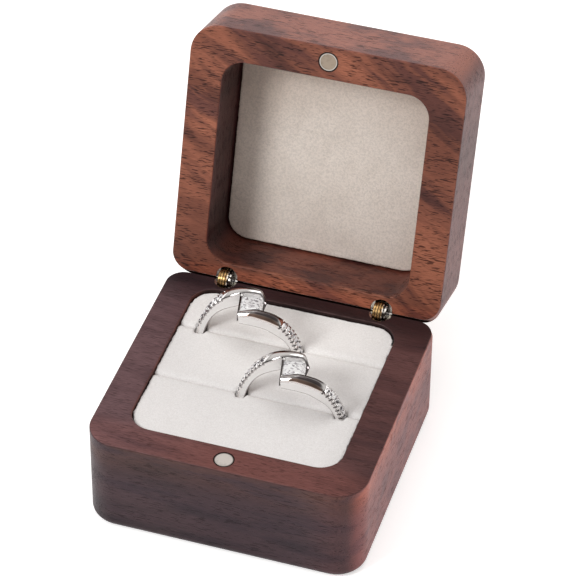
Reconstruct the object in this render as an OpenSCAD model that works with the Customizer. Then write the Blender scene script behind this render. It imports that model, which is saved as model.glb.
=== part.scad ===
// Two-slot wooden ring box with a hinged lid, shown open with a ring in each slot.
// The origin is the centre of the base's underside. +Z is up, +X runs along the front
// edge to the right and +Y points back to the hinge side. Millimetres.

/* [Box] */
// Width of the box, left to right
box_w = 50; // [46:0.5:64]
// Depth of the box, front to back
box_d = 50; // [47:0.5:64]
// Radius of the four upright corners
corner_r = 5.5; // [3.5:0.25:8]
// Height of the base up to its rim
base_h = 19.6; // [19.6:0.2:28]
// Height of the lid from its rim to its top
lid_h = 15.3; // [15.3:0.1:24]
// How far the lid stands out past the base on each side
lid_over = 0.25; // [0:0.05:0.5]
// Radius of the rounded edge round the underside and round the lid's top
outer_r = 1.6; // [0.6:0.1:2.6]
// Radius of the eased edges of both rims
rim_r = 0.3; // [0.15:0.05:0.5]
// Gap between the two rims when the lid is shut
rim_gap = 0.1; // [0.05:0.05:0.4]

/* [Hollows] */
// Thickness of the front wall and the side walls
wall = 6; // [5.4:0.1:8]
// Thickness of the rear wall, which holds the hinges
rear_wall = 5.4; // [5.2:0.1:7]
// Radius of the hollows' upright corners
pocket_r = 4.2; // [2.5:0.1:6]
// Thickness of the base's floor
base_floor = 3; // [2:0.1:3.4]
// Thickness of the lid's top
lid_top = 2.4; // [1.6:0.1:3.4]
// Depth of the bevel cut into the rim of both rear walls
bevel_in = 2.5; // [2.3:0.1:2.8]
// Angle between the bevel and the rim
bevel_angle = 58.5; // [56:0.5:74]
// Radius of the upright corners between the bevel and the sides
bevel_r = 3.2; // [1:0.1:4]

/* [Hinges] */
// Angle that the lid opens to
open_angle = 106.9; // [90:0.1:112]
// Distance of each hinge's axis from the side of the box
hinge_in = 10.4; // [9:0.1:16]
// Diameter of the hinge barrels
barrel_d = 4; // [3.6:0.1:4.2]
// Length of each hinge barrel
barrel_len = 6; // [5.6:0.1:8]
// How far a barrel's end lies below the rim
barrel_sink = 0.15; // [0.1:0.05:0.3]
// Clearance between a barrel and its hole, on the radius
barrel_fit = 0.02; // [0.01:0.01:0.05]
// Thickness of one hinge leaf
leaf_t = 0.44; // [0.25:0.01:0.46]
// Gap between two leaves
leaf_gap = 0.06; // [0.04:0.01:0.08]
// Radius of the ball that the leaves' round ends make together
knuckle_r = 1.95; // [1.5:0.05:2]
// Distance from the bevel's edge back to the hinge axis
axis_back = 0.22; // [0.15:0.01:0.3]
// Diameter of the hinge pin
pin_d = 0.7; // [0.5:0.05:0.9]
// Running clearance of the pin in the lid's leaves, on the radius
pin_run = 0.03; // [0.02:0.01:0.06]
// Diameter of the rivet that holds the leaves in a barrel
rivet_d = 0.6; // [0.4:0.05:0.7]

/* [Magnets] */
// Diameter of the closing magnets
magnet_d = 3.5; // [2.5:0.1:4]
// Height of a magnet
magnet_h = 2; // [1:0.1:3]
// Distance of the magnets' centre from the front face
magnet_in = 2.8; // [2.7:0.05:3.2]
// Glue gap round a magnet
magnet_fit = 0.1; // [0.05:0.01:0.15]
// How far a magnet lies below its rim
magnet_sink = 0.05; // [0:0.01:0.2]

/* [Lid lining] */
// Gap between the lining and the hollow's walls
lining_gap = 0.3; // [0.1:0.05:0.6]
// Thickness of the lining's card
card_t = 0.6; // [0.4:0.1:1.2]
// Thickness of the velvet on the card
velvet_t = 0.4; // [0.3:0.05:0.8]

/* [Cushion] */
// Gap between the cushion and the hollow's walls
cushion_gap = 0.35; // [0.2:0.05:0.8]
// Thickness of the card under the cushion
board_t = 0.8; // [0.5:0.1:1.5]
// Thickness of the foam sheet under the pads
underlay_t = 3.3; // [2.5:0.1:4.5]
// Depth of the pads' crowns below the base's rim
pad_sink = 0.9; // [0.6:0.1:1.6]
// Fall of a pad from its crown to a slot
crown_h = 1.6; // [0.8:0.1:2.2]
// Fall of a pad from its crown to the hollow's wall
wall_fall = 0.7; // [0.3:0.1:1.4]
// Distance from the hollow's front wall to the front slot
front_slot = 14.8; // [11:0.1:16]
// Distance from the hollow's rear wall to the rear slot
rear_slot = 10; // [8:0.1:11]
// Forward lean of both slots and of the rings in them
slot_lean = 4; // [0:0.5:6]
// Clearance between a ring and the pads beside it
slot_fit = 0.2; // [0.15:0.05:0.4]

/* [Rings] */
// Inner diameter of the rings
finger_d = 16.7; // [15:0.1:17]
// Thickness of the band at its foot, inside to outside
band_t = 1.55; // [1.2:0.05:1.7]
// Width of the band
band_w = 2.1; // [1.8:0.05:2.4]
// Height of the rear arm's top above the band's outside
rear_arm_rise = 1.5; // [1:0.1:1.9]
// Height of the front arm's top above the band's outside
front_arm_rise = 1.4; // [0.9:0.1:1.7]
// Width of the two polished arms
arm_w = 1; // [0.7:0.05:1.1]
// Side of the square centre stone
stone_w = 3.8; // [3:0.1:4]
// Turn of the centre stone, seen from above
stone_turn = 12; // [6:1:14]
// Clearance between the centre stone and the arms
stone_fit = 0.1; // [0.05:0.05:0.2]
// Thickness of the upright wall at the centre stone's left side
stone_wall_t = 0.3; // [0.2:0.05:0.4]
// Roll of each ring in its slot
ring_roll = 4; // [0:0.5:8]
// Distance of the front ring to the right of the middle
front_ring_x = 6.3; // [2:0.1:7]
// Distance of the rear ring to the left of the middle
rear_ring_x = 5.9; // [2:0.1:7]
// Diameter of the small stones on the shoulders
pave_d = 0.9; // [0.8:0.05:1]
// Number of small stones on one shoulder
pave_n = 9; // [4:1:9]

/* [Hidden] */
$fn = 64;
eps = 0.01;
open_cut = 1;

// Places worked out from the sizes above
hollow_w = box_w - 2 * wall;
hollow_front = -box_d / 2 + wall;
hollow_rear = box_d / 2 - rear_wall;
hollow_d = hollow_rear - hollow_front;
hollow_y = (hollow_front + hollow_rear) / 2;
lid_z = base_h + rim_gap;
lid_ceiling = lid_h - lid_top;
bevel_y = box_d / 2 - bevel_in;
axis_y = bevel_y + axis_back;
axis_z = base_h + rim_gap / 2;
hinge_x = box_w / 2 - hinge_in;
hinge_y = box_d / 2 - rear_wall / 2;
magnet_y = -box_d / 2 + magnet_in;

// The hinge's leaves, side by side along the pin: three on the base and two on the lid
leaf_count = 5;
leaf_pitch = leaf_t + leaf_gap;
stack_w = leaf_count * leaf_t + (leaf_count - 1) * leaf_gap;
slot_w = stack_w + 2 * leaf_gap;
tongue_w = 1.3;
tongue_len = 4.7;
tongue_forward = 0.3;
tongue_y = hinge_y - tongue_forward;
rivet_z = 3.9;
rivet_grip = 0.4;
rivet_len = slot_w + 2 * rivet_grip;
knuckle_room = 0.13;

// The rings' and the cushion's levels
band_r = finger_d / 2 + band_t;
underlay_top = base_floor + board_t + underlay_t;
ring_seat = 0.12;
ring_z = underlay_top + ring_seat + band_r;
pad_top = base_h - pad_sink;
slot_edge = pad_top - crown_h;
wall_edge = pad_top - wall_fall;
front_slot_y = hollow_front + front_slot;
rear_slot_y = hollow_rear - rear_slot;
pad_half_slot = band_w / 2 + slot_fit;
cushion_half_w = hollow_w / 2 - cushion_gap;
cushion_r = pocket_r - cushion_gap;

// ---------------------------------------------------------------- wooden blocks

// Upright section of a rounded block from a corner's axis out to its face
module edge_section(r, h, low_r, high_r) {
    square([r - low_r, h / 2]);
    translate([0, h / 2]) square([r - high_r, h / 2]);
    translate([0, low_r]) square([r, h - low_r - high_r]);
    translate([r - low_r, low_r]) circle(low_r);
    translate([r - high_r, h - high_r]) circle(high_r);
}

// Upright section of a hollow whose mouth flares out round an eased edge
module mouth_section(r, h, ease_r) {
    square([r, h + open_cut]);
    difference() {
        translate([0, h - ease_r]) square([r + ease_r, ease_r + open_cut]);
        translate([r + ease_r, h - ease_r]) circle(ease_r);
    }
}

// Sweeps a section, given from a corner's axis outwards, round a rectangle of w by d
module rounded_rectangle(w, d, r, core_h) {
    run_x = w - 2 * r;
    run_y = d - 2 * r;
    translate([-run_x / 2, -run_y / 2, 0]) cube([run_x, run_y, core_h]);
    for (side = [0, 180]) {
        rotate(side) translate([0, -run_y / 2, 0]) mirror([0, 1, 0])
            rotate([90, 0, 90]) linear_extrude(run_x, center = true) children();
        rotate(side) translate([run_x / 2, 0, 0])
            rotate([90, 0, 0]) linear_extrude(run_y, center = true) children();
    }
    for (x = [-1, 1], y = [-1, 1])
        translate([x * run_x / 2, y * run_y / 2, 0]) rotate_extrude() children();
}

module rounded_block(w, d, h, r, low_r, high_r) {
    rounded_rectangle(w, d, r, h) edge_section(r, h, low_r, high_r);
}

module hollow(w, d, h, r) {
    rounded_rectangle(w, d, r, h + open_cut) mouth_section(r, h, rim_r);
}

// Flat plate with round corners
module plate(w, d, t, r) {
    translate([-w / 2 + r, -d / 2, 0]) cube([w - 2 * r, d, t]);
    translate([-w / 2, -d / 2 + r, 0]) cube([w, d - 2 * r, t]);
    for (x = [-1, 1], y = [-1, 1])
        translate([x * (w / 2 - r), y * (d / 2 - r), 0]) cylinder(h = t, r = r);
}

// Everything behind the bevel, which starts at the rim (z = 0) and falls towards the back. It
// is cut round at the sides of a block of width w
module behind_bevel(w = box_w) {
    reach = 3 * box_d;
    translate([0, bevel_y, 0]) rotate([-bevel_angle, 0, 0]) translate([0, reach - bevel_r, 0])
        rotate([90, 0, 0]) linear_extrude(reach) difference() {
            translate([-reach / 2, -bevel_r]) square([reach, reach]);
            translate([-w / 2, -reach]) square([w, reach - bevel_r]);
            translate([-w / 2 + bevel_r, -reach]) square([w - 2 * bevel_r, reach]);
            for (x = [-1, 1])
                translate([x * (w / 2 - bevel_r), -bevel_r]) circle(bevel_r);
        }
}

// Turns what is drawn on the shut lid about the hinge axis to the open lid
module on_open_lid() {
    translate([0, axis_y, axis_z]) rotate([-open_angle, 0, 0])
        translate([0, -axis_y, -axis_z]) children();
}

// Mirrors a part of the base through the parting plane to make the lid's
module on_lid_side() {
    translate([0, 0, 2 * axis_z]) mirror([0, 0, 1]) children();
}

module hinge_holes(rim_z) {
    depth = barrel_len + barrel_sink;
    for (x = [-hinge_x, hinge_x])
        translate([x, hinge_y, rim_z - depth])
            cylinder(h = depth + open_cut, d = barrel_d + 2 * barrel_fit);
}

module magnet_hole(rim_z) {
    depth = magnet_h + magnet_sink;
    translate([0, magnet_y, rim_z - depth])
        cylinder(h = depth + open_cut, d = magnet_d + 2 * magnet_fit);
}

module base_body() {
    color("#4a2c26") difference() {
        rounded_block(box_w, box_d, base_h, corner_r, outer_r, rim_r);
        translate([0, hollow_y, base_floor])
            hollow(hollow_w, hollow_d, base_h - base_floor, pocket_r);
        translate([0, 0, base_h]) behind_bevel();
        hinge_holes(base_h);
        magnet_hole(base_h);
    }
}

// The lid is drawn upside down under the parting plane and mirrored up
module lid_block() {
    difference() {
        translate([0, 0, base_h - lid_h])
            rounded_block(box_w + 2 * lid_over, box_d, lid_h, corner_r, outer_r, rim_r);
        translate([0, hollow_y, base_h - lid_ceiling])
            hollow(hollow_w, hollow_d, lid_ceiling, pocket_r);
        translate([0, 0, base_h]) behind_bevel(box_w + 2 * lid_over);
        hinge_holes(base_h);
        magnet_hole(base_h);
    }
}

module lid_body() {
    color("#8a5340") on_open_lid() on_lid_side() lid_block();
}

// ---------------------------------------------------------------- lining and magnets

module lining_plate(t) {
    plate(hollow_w - 2 * lining_gap, hollow_d - 2 * lining_gap, t, pocket_r - lining_gap);
}

module lid_lining_card() {
    color("#b9ab97") on_open_lid()
        translate([0, hollow_y, lid_z + lid_ceiling - card_t]) lining_plate(card_t);
}

module lid_lining_velvet() {
    color("#d8cbb9") on_open_lid()
        translate([0, hollow_y, lid_z + lid_ceiling - card_t - velvet_t]) lining_plate(velvet_t);
}

module magnet() {
    translate([0, magnet_y, base_h - magnet_sink - magnet_h]) cylinder(h = magnet_h, d = magnet_d);
}

module base_magnet() {
    color("#b9b5ad") magnet();
}

module lid_magnet() {
    color("#b9b5ad") on_open_lid() on_lid_side() magnet();
}

// ---------------------------------------------------------------- barrel hinges

// One barrel under the parting plane, slotted for the leaves and cut by the bevel
module barrel() {
    difference() {
        translate([0, hinge_y, base_h - barrel_sink - barrel_len]) cylinder(h = barrel_len, d = barrel_d);
        translate([0, 0, base_h]) behind_bevel();
        translate([-slot_w / 2, hinge_y - barrel_d, axis_z - knuckle_r - knuckle_room])
            cube([slot_w, 2 * barrel_d, 2 * knuckle_r]);
        translate([-slot_w / 2, tongue_y - tongue_w / 2 - leaf_gap, base_h - tongue_len - leaf_gap])
            cube([slot_w, tongue_w + 2 * leaf_gap, tongue_len]);
        translate([0, tongue_y, base_h - rivet_z]) rotate([0, 90, 0])
            cylinder(h = rivet_len, d = rivet_d + 2 * barrel_fit, center = true);
    }
}

// Radius of a leaf's round end, which shrinks from the middle of the stack to its sides
function leaf_r(i) =
    let (off = (i - (leaf_count - 1) / 2) * leaf_pitch) sqrt(knuckle_r * knuckle_r - off * off);

// Leaves numbered first, first + 2 and so on, each with a round end and a tongue
module leaves(first, hole_d) {
    for (i = [first : 2 : leaf_count - 1])
        translate([-stack_w / 2 + i * leaf_pitch, 0, 0]) difference() {
            union() {
                translate([0, axis_y, axis_z]) rotate([0, 90, 0]) cylinder(h = leaf_t, r = leaf_r(i));
                translate([0, tongue_y - tongue_w / 2, base_h - tongue_len])
                    cube([leaf_t, tongue_w, axis_z - base_h + tongue_len]);
            }
            translate([-eps, axis_y, axis_z]) rotate([0, 90, 0])
                cylinder(h = leaf_t + 2 * eps, d = hole_d);
            translate([-eps, tongue_y, base_h - rivet_z]) rotate([0, 90, 0])
                cylinder(h = leaf_t + 2 * eps, d = rivet_d + 2 * barrel_fit);
        }
}

module rivet() {
    translate([0, tongue_y, base_h - rivet_z]) rotate([0, 90, 0])
        cylinder(h = rivet_len, d = rivet_d, center = true);
}

module pin() {
    translate([0, axis_y, axis_z]) rotate([0, 90, 0]) cylinder(h = stack_w, d = pin_d, center = true);
}

module hinge_base_barrel(x) {
    color("#c9c5bb") translate([x, 0, 0]) barrel();
}

module hinge_base_leaves(x) {
    color("#c79a45") translate([x, 0, 0]) leaves(0, pin_d + 2 * barrel_fit);
}

module hinge_base_rivet(x) {
    color("#b08b4a") translate([x, 0, 0]) rivet();
}

module hinge_lid_barrel(x) {
    color("#c9c5bb") on_open_lid() on_lid_side() translate([x, 0, 0]) barrel();
}

module hinge_lid_leaves(x) {
    color("#d8b063") on_open_lid() on_lid_side() translate([x, 0, 0]) leaves(1, pin_d + 2 * pin_run);
}

module hinge_lid_rivet(x) {
    color("#b08b4a") on_open_lid() on_lid_side() translate([x, 0, 0]) rivet();
}

module hinge_pin(x) {
    color("#d9d5cc") translate([x, 0, 0]) pin();
}

// ---------------------------------------------------------------- cushion

module cushion_card() {
    color("#b9ab97") translate([0, hollow_y, base_floor])
        plate(2 * cushion_half_w, hollow_d - 2 * cushion_gap, board_t, cushion_r);
}

module cushion_underlay() {
    color("#ddd8cf") translate([0, hollow_y, base_floor + board_t])
        plate(2 * cushion_half_w, hollow_d - 2 * cushion_gap, underlay_t, cushion_r);
}

// Joins closed outlines of equal length, one after the other, into one solid with triangles
module skin(outlines) {
    n = len(outlines[0]);
    last = len(outlines) - 1;
    points = [for (outline = outlines) each outline];
    walls = [for (i = [0 : last - 1], j = [0 : n - 1])
        let (a = i * n + j, b = i * n + (j + 1) % n) each [[a, b + n, b], [a, a + n, b + n]]];
    start_cap = [for (j = [1 : n - 2]) [0, j, j + 1]];
    end_cap = [for (j = [1 : n - 2]) [last * n, last * n + j + 1, last * n + j]];
    polyhedron(points, concat(walls, start_cap, end_cap));
}

// Y of a leaning slot's middle plane at height z
function slot_y(y, z) = y - (z - ring_z) * tan(slot_lean);

// How far a round corner of radius r draws the outline in at x
function corner_inset(x, r) =
    let (over = abs(x) - (cushion_half_w - r)) over > 0 ? r - sqrt(max(r * r - over * over, 0)) : 0;

// Rounded crown from 0 at v = -1 or 1 to 1 in the middle
function crown(v, power) = pow(max(1 - pow(abs(v), power), 0), 1 / power);

pad_stations = 30;
crown_points = 14;
crown_power = 2.6;
end_power = 9;

// A pad's face in the section at x: y at its foot, y at its upper edge and that edge's height
function slot_face(y) = [slot_y(y, underlay_top), slot_y(y, slot_edge), slot_edge];
function wall_face(y) = [y, y, wall_edge];

// Section of a pad at x between its front face and its rear face, with the crown between them
function pad_section(x, front, rear) =
    let (swell = crown(x / cushion_half_w, end_power),
        mid = (front[1] + rear[1]) / 2, half = (rear[1] - front[1]) / 2)
    concat([[x, front[0], underlay_top], [x, rear[0], underlay_top]],
        [for (i = [0 : crown_points])
            let (v = cos(180 * i / crown_points),
                edge = front[2] + (rear[2] - front[2]) * (1 + v) / 2)
            [x, mid + half * v, edge + (pad_top - edge) * swell * crown(v, crown_power)]]);

// A pad between two faces: a slot face leans, and a wall face is upright with round corners
module pad(front_y, front_is_slot, rear_y, rear_is_slot) {
    skin([for (i = [0 : pad_stations])
        let (x = -cushion_half_w * cos(180 * i / pad_stations), inset = corner_inset(x, cushion_r))
        pad_section(x,
            front_is_slot ? slot_face(front_y) : wall_face(front_y + inset),
            rear_is_slot ? slot_face(rear_y) : wall_face(rear_y - inset))]);
}

module front_pad() {
    color("#ebe7e0") pad(hollow_front + cushion_gap, false, front_slot_y - pad_half_slot, true);
}

module middle_pad() {
    color("#ebe7e0") pad(front_slot_y + pad_half_slot, true, rear_slot_y - pad_half_slot, true);
}

module rear_pad() {
    color("#ebe7e0") pad(rear_slot_y + pad_half_slot, true, hollow_rear - cushion_gap, false);
}

// ---------------------------------------------------------------- rings

function ease(t) = let (u = min(max(t, 0), 1)) u * u * (3 - 2 * u);

// Angles along a band are counted from its foot: negative up the left side to the rear arm's
// end, positive up the right side to the front arm's end
rear_end = -193;
front_end = 191;
band_step = 4;
rear_split_from = 88;
front_split_from = 104;
shoulder_from = 115;
shoulder_to = 178;
narrow_from = 138;
narrow_to = 170;
rear_drift_to = 172;
front_drift_to = 186;
hug_from = 189;
hug_in = 1.3;
tip_span = 12;
tip_drop = 0.7;
band_chamfer = 0.14;
arm_clear = 0.28;
arm_offset = (stone_w / 2 + stone_fit + arm_w / 2) / cos(stone_turn) + arm_clear;

// Sideways drift of the band's middle at angle q
function drift(q) = q < 0
    ? arm_offset * ease((-q - rear_split_from) / (rear_drift_to - rear_split_from))
        - hug_in * ease((-q - hug_from) / (-rear_end - hug_from))
    : -arm_offset * ease((q - front_split_from) / (front_drift_to - front_split_from));

// Outer radius of the band at angle q
function outer_at(q) =
    let (rise = q < 0 ? rear_arm_rise : front_arm_rise,
        tip = ease((abs(q) - (q < 0 ? -rear_end : front_end) + tip_span) / tip_span))
    band_r + rise * ease((abs(q) - shoulder_from) / (shoulder_to - shoulder_from)) - tip_drop * tip;

// Width of the band at angle q
function width_at(q) = band_w + (arm_w - band_w) * ease((abs(q) - narrow_from) / (narrow_to - narrow_from));

// Section of the band at angle q, turned about the finger axis
function band_section(q) =
    let (r0 = finger_d / 2, r1 = outer_at(q), y = drift(q), h = width_at(q) / 2, c = band_chamfer)
    [for (p = [[r0 + c, -h], [r1 - c, -h], [r1, c - h], [r1, h - c],
            [r1 - c, h], [r0 + c, h], [r0, h - c], [r0, c - h]])
        [p[0] * sin(q), y + p[1], -p[0] * cos(q)]];

// The centre stone, its seat and its prongs, with heights along the ring's upward radius
girdle_rise = 1.95;
girdle_r = finger_d / 2 + girdle_rise;
girdle_t = 0.12;
pavilion_depth = 1.6;
culet_w = 0.12;
table_rise = 0.75;
table_w = 0.62 * stone_w;
facet_rise = 0.6 * table_rise;
seat_lift = 0.12;
seat_t = 0.78;
seat_foot = finger_d / 2 + seat_lift;
seat_top = seat_foot + seat_t;
seat_opening = 2.2;
prong_d = 0.8;
prong_out = 0.34;
prong_root = 0.5;
prong_rise = 0.35;
prong_top = girdle_r + prong_rise;
prong_fn = 20;
stone_wall_rise = 0.1;
stone_wall_top = girdle_r + stone_wall_rise;

// Frame under the centre stone, a wall at its left side and four prongs at its corners
module stone_seat() {
    seat_reach = 2 * arm_offset - arm_w / 2;
    wall_out = stone_w / 2 + stone_fit + stone_wall_t;
    wall_half = stone_w / 2 + prong_out;
    rotate(stone_turn) {
        difference() {
            translate([-wall_out, -seat_reach / 2, seat_foot])
                cube([wall_out + stone_w / 2, seat_reach, seat_top - seat_foot]);
            translate([-seat_opening / 2, -seat_opening / 2, 0])
                cube([seat_opening, seat_opening, 2 * seat_top]);
        }
        translate([-wall_out, -wall_half, seat_foot])
            cube([stone_wall_t, 2 * wall_half, stone_wall_top - seat_foot]);
        for (x = [-1, 1], y = [-1, 1])
            translate([x * (stone_w / 2 + prong_out), y * (stone_w / 2 + prong_out), 0]) {
                translate([0, 0, seat_top - prong_root])
                    cylinder(h = prong_top - seat_top + prong_root, d = prong_d, $fn = prong_fn);
                translate([0, 0, prong_top]) sphere(d = prong_d, $fn = prong_fn);
            }
    }
}

// Corners of a level square
function square_at(side, z) =
    [for (a = [45 : 90 : 315]) [side * sqrt(0.5) * cos(a), side * sqrt(0.5) * sin(a), z]];

// Square stone: a pointed pavilion, a girdle and a crown that ends in a flat table
module centre_stone() {
    rotate(stone_turn) skin([
        square_at(culet_w, girdle_r - pavilion_depth),
        square_at(stone_w, girdle_r - girdle_t),
        square_at(stone_w, girdle_r),
        square_at((stone_w + table_w) / 2, girdle_r + facet_rise),
        square_at(table_w, girdle_r + table_rise)]);
}

first_stone_angle = 97;
pave_gap = 0.1;
pave_lift = 0.02;
pave_h = 0.3;
pave_top_d = 0.6 * pave_d;
pave_sides = 8;

// Small stones in a row up each shoulder
module shoulder_stones() {
    pitch = (pave_d + pave_gap) / band_r * 180 / PI;
    for (side = [-1, 1], i = [0 : pave_n - 1]) {
        q = side * (first_stone_angle + i * pitch);
        translate([0, drift(q), 0]) rotate([0, 180 - q, 0]) translate([0, 0, outer_at(q) + pave_lift])
            cylinder(h = pave_h, d1 = pave_d, d2 = pave_top_d, $fn = pave_sides);
    }
}

module in_slot(x, y) {
    translate([x, y, ring_z]) rotate([slot_lean, 0, 0]) rotate([0, ring_roll, 0]) children();
}

module ring_band(x, y) {
    color("#d9d9dc") in_slot(x, y) {
        skin([for (q = [rear_end : band_step : front_end]) band_section(q)]);
        stone_seat();
    }
}

module ring_centre_stone(x, y) {
    color("#f4f6fa") in_slot(x, y) centre_stone();
}

module ring_shoulder_stones(x, y) {
    color("#eef1f6") in_slot(x, y) shoulder_stones();
}

// ---------------------------------------------------------------- nodes

base_body();
lid_body();
lid_lining_card();
lid_lining_velvet();
cushion_card();
cushion_underlay();
front_pad();
middle_pad();
rear_pad();
base_magnet();
lid_magnet();
hinge_base_barrel(-hinge_x);  // left_hinge_base_barrel
hinge_base_leaves(-hinge_x);  // left_hinge_base_leaves
hinge_base_rivet(-hinge_x);  // left_hinge_base_rivet
hinge_lid_barrel(-hinge_x);  // left_hinge_lid_barrel
hinge_lid_leaves(-hinge_x);  // left_hinge_lid_leaves
hinge_lid_rivet(-hinge_x);  // left_hinge_lid_rivet
hinge_pin(-hinge_x);  // left_hinge_pin
hinge_base_barrel(hinge_x);  // right_hinge_base_barrel
hinge_base_leaves(hinge_x);  // right_hinge_base_leaves
hinge_base_rivet(hinge_x);  // right_hinge_base_rivet
hinge_lid_barrel(hinge_x);  // right_hinge_lid_barrel
hinge_lid_leaves(hinge_x);  // right_hinge_lid_leaves
hinge_lid_rivet(hinge_x);  // right_hinge_lid_rivet
hinge_pin(hinge_x);  // right_hinge_pin
ring_band(front_ring_x, front_slot_y);  // front_ring_band
ring_centre_stone(front_ring_x, front_slot_y);  // front_ring_centre_stone
ring_shoulder_stones(front_ring_x, front_slot_y);  // front_ring_shoulder_stones
ring_band(-rear_ring_x, rear_slot_y);  // rear_ring_band
ring_centre_stone(-rear_ring_x, rear_slot_y);  // rear_ring_centre_stone
ring_shoulder_stones(-rear_ring_x, rear_slot_y);  // rear_ring_shoulder_stones
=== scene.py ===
import math

import bpy
from mathutils import Matrix, Vector, noise


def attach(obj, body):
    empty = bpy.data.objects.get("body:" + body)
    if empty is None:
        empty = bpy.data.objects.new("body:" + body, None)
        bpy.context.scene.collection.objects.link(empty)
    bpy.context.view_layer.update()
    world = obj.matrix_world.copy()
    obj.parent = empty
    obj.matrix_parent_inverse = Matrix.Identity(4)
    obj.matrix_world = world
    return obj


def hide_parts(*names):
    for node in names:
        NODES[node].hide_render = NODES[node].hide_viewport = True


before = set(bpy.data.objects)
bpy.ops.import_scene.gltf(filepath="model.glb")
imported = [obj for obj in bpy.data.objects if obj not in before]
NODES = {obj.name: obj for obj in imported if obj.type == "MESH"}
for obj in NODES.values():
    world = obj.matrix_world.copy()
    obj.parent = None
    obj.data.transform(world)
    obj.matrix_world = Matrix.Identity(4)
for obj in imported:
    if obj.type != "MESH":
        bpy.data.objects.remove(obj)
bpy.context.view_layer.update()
MM = 0.001

# ---------------------------------------------------------------- sizes, in mm, as in the part's source

BASE_H = 19.6
LID_Z, LID_H, LID_ROOF = 19.7, 15.3, 2.4
CEILING_Z = LID_Z + LID_H - LID_ROOF
BEVEL_Y = 22.5
OPEN_ANGLE = 106.9
AXIS_Y, AXIS_Z = 22.72, 19.65
HINGE_X, LEAF_PITCH = 14.6, 0.5
MAGNET_Y = -22.2
HOLLOW_FRONT, HOLLOW_REAR = -19.0, 19.6
HOLLOW_W, HOLLOW_D = 38.0, HOLLOW_REAR - HOLLOW_FRONT
HOLLOW_MID_Y = (HOLLOW_FRONT + HOLLOW_REAR) / 2
CUSHION_GAP = 0.35
POCKET_R = 4.2
UNDERLAY_TOP = 7.1
RING_Z = 17.12
SLOT_LEAN, RING_ROLL = 4.0, 4.0
FRONT_SLOT_Y, REAR_SLOT_Y = -4.2, 9.6
FRONT_RING_X, REAR_RING_X = 6.3, -5.9
FINGER_R, BAND_T, BAND_W = 8.35, 1.55, 2.1
STONE_W, STONE_TURN = 3.8, 12.0
LINING_CARD_T, LINING_T, LINING_GAP, LINING_R = 0.6, 0.4, 0.3, 3.9


def ease(value, start, full):
    """0 up to start and 1 from full on, with a smooth rise between. full may lie below start."""
    t = min(max((value - start) / (full - start), 0.0), 1.0)
    return t * t * (3 - 2 * t)


def turned_2d(x, y, angle):
    """A point turned about the origin, by an angle in radians."""
    return x * math.cos(angle) - y * math.sin(angle), x * math.sin(angle) + y * math.cos(angle)


def open_lid(p):
    """A point of the shut lid, turned about the hinge axis to the open lid."""
    y, z = turned_2d(p[1] - AXIS_Y, p[2] - AXIS_Z, math.radians(-OPEN_ANGLE))
    return (p[0], AXIS_Y + y, AXIS_Z + z)


LID_MAGNET_AT = open_lid((0, MAGNET_Y, LID_Z))

# ---------------------------------------------------------------- meshes


def new_object(name, verts, faces, material, body, smooth_shade=True):
    """An object of vertices in mm, in one material, that rides on the body."""
    mesh = bpy.data.meshes.new(name)
    mesh.from_pydata([tuple(c * MM for c in v) for v in verts], [], faces)
    mesh.validate()
    mesh.update()
    obj = bpy.data.objects.new(name, mesh)
    bpy.context.scene.collection.objects.link(obj)
    mesh.materials.append(material)
    for p in mesh.polygons:
        p.use_smooth = smooth_shade
    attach(obj, body)
    return obj


def loft(sections):
    """Vertices and faces of closed outlines of equal length joined one after the other, with caps."""
    n = len(sections[0])
    verts = [p for s in sections for p in s]
    faces = []
    for i in range(len(sections) - 1):
        for j in range(n):
            a, b = i * n + j, i * n + (j + 1) % n
            faces.append((a, b, b + n, a + n))
    return verts, faces + caps(len(sections), n)


def caps(rows, n):
    """Faces that close the first and the last of the rows of n vertices each."""
    return [tuple(range(n))[::-1], tuple((rows - 1) * n + j for j in range(n))]


def joined(parts):
    verts, faces = [], []
    for v, f in parts:
        base = len(verts)
        verts += v
        faces += [tuple(i + base for i in face) for face in f]
    return verts, faces


def moved(mesh, matrix):
    return [tuple(matrix @ Vector(v)) for v in mesh[0]], mesh[1]


# ---------------------------------------------------------------- node materials


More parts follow.
